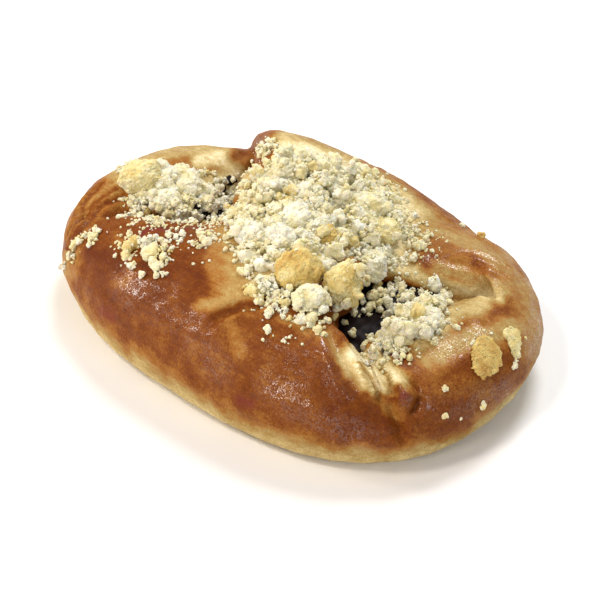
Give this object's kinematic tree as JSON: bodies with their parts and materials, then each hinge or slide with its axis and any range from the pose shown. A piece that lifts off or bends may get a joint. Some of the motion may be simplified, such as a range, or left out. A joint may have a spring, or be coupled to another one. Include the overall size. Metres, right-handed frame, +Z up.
{
  "type": "jam-filled pastry",
  "caption": "Oval folded yeast pastry: its two long sides meet over a pad of dark jam that shows in a window at each end, with pale crumble on top.",
  "frame": {"origin": "middle of the flat foot, under the middle of the whole pastry's box", "axes": "+X along the pastry towards its wider window, +Y across it towards the far fold, +Z up"},
  "size_m": [0.131, 0.0926, 0.04],
  "materials": {
    "crust": "egg-washed yeast dough, glossy golden to chestnut brown on top, pale straw where folded in, fine blisters",
    "jam": "glossy, nearly black purple fruit jam",
    "crumble": "matte granular butter crumble, cream to pale yellow",
    "toasted_crumble": "matte granular butter crumble, baked golden"
  },
  "bodies": {
    "root": {"jam": "jam", "dough": "crust", "clump_left_end": "crumble", "clump_left_near": "crumble", "clump_left_far": "crumble", "clump_left_window": "crumble", "clump_middle": "crumble", "clump_near_left": "crumble", "clump_near_right": "crumble", "clump_window_golden": "toasted_crumble", "clump_window_block": "crumble", "clump_window_low": "crumble", "clump_window_corner": "crumble", "clump_yellow": "toasted_crumble", "clump_far_long": "crumble", "clump_far_round": "crumble", "clump_far_top": "crumble", "clump_right_end": "crumble", "crumble_middle": "crumble", "crumble_left": "crumble", "crumble_right": "crumble", "flake_large": "toasted_crumble", "flake_small": "toasted_crumble"}
  },
  "joints": []
}
